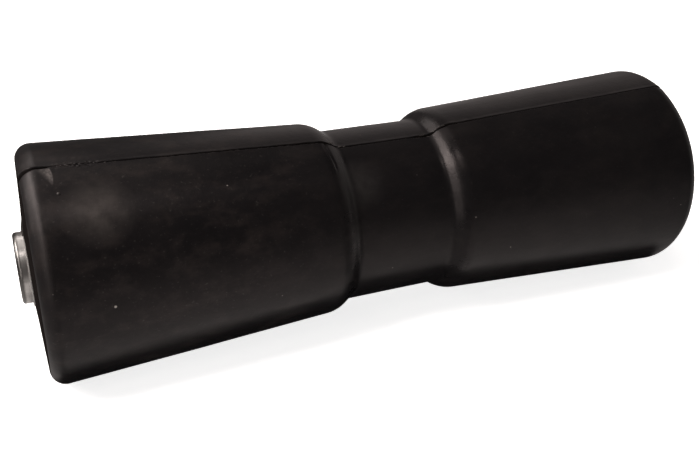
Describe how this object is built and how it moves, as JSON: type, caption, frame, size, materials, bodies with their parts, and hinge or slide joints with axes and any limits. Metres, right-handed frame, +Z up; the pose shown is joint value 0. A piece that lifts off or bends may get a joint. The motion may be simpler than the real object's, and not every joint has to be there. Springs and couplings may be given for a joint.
{
  "type": "boat trailer keel roller",
  "caption": "Moulded rubber keel and bow roller with a waist between two tapered flares, turning on a plated steel tube whose ends stand proud for the bracket's cheeks.",
  "frame": {"origin": "middle of the roller, on the axis it turns about", "axes": "+Y along the axis that the roller turns about, +Z up towards the hull, X the way the hull passes over the roller"},
  "size_m": [0.0944, 0.297, 0.0942],
  "materials": {
    "roller_rubber": "moulded black rubber, satin, with a parting line",
    "sleeve_nylon": "turned grey nylon",
    "plated_steel": "bright zinc plate over drawn tube"
  },
  "bodies": {
    "axle": {"axle_tube": "plated_steel"},
    "roller": {"rubber_roller": "roller_rubber", "core_sleeve": "sleeve_nylon"}
  },
  "joints": [
    {"name": "roller_spin", "type": "hinge", "parent": "axle", "child": "roller", "pos_m": [0, 0, 0], "axis": [0, 1, 0], "continuous": true}
  ]
}
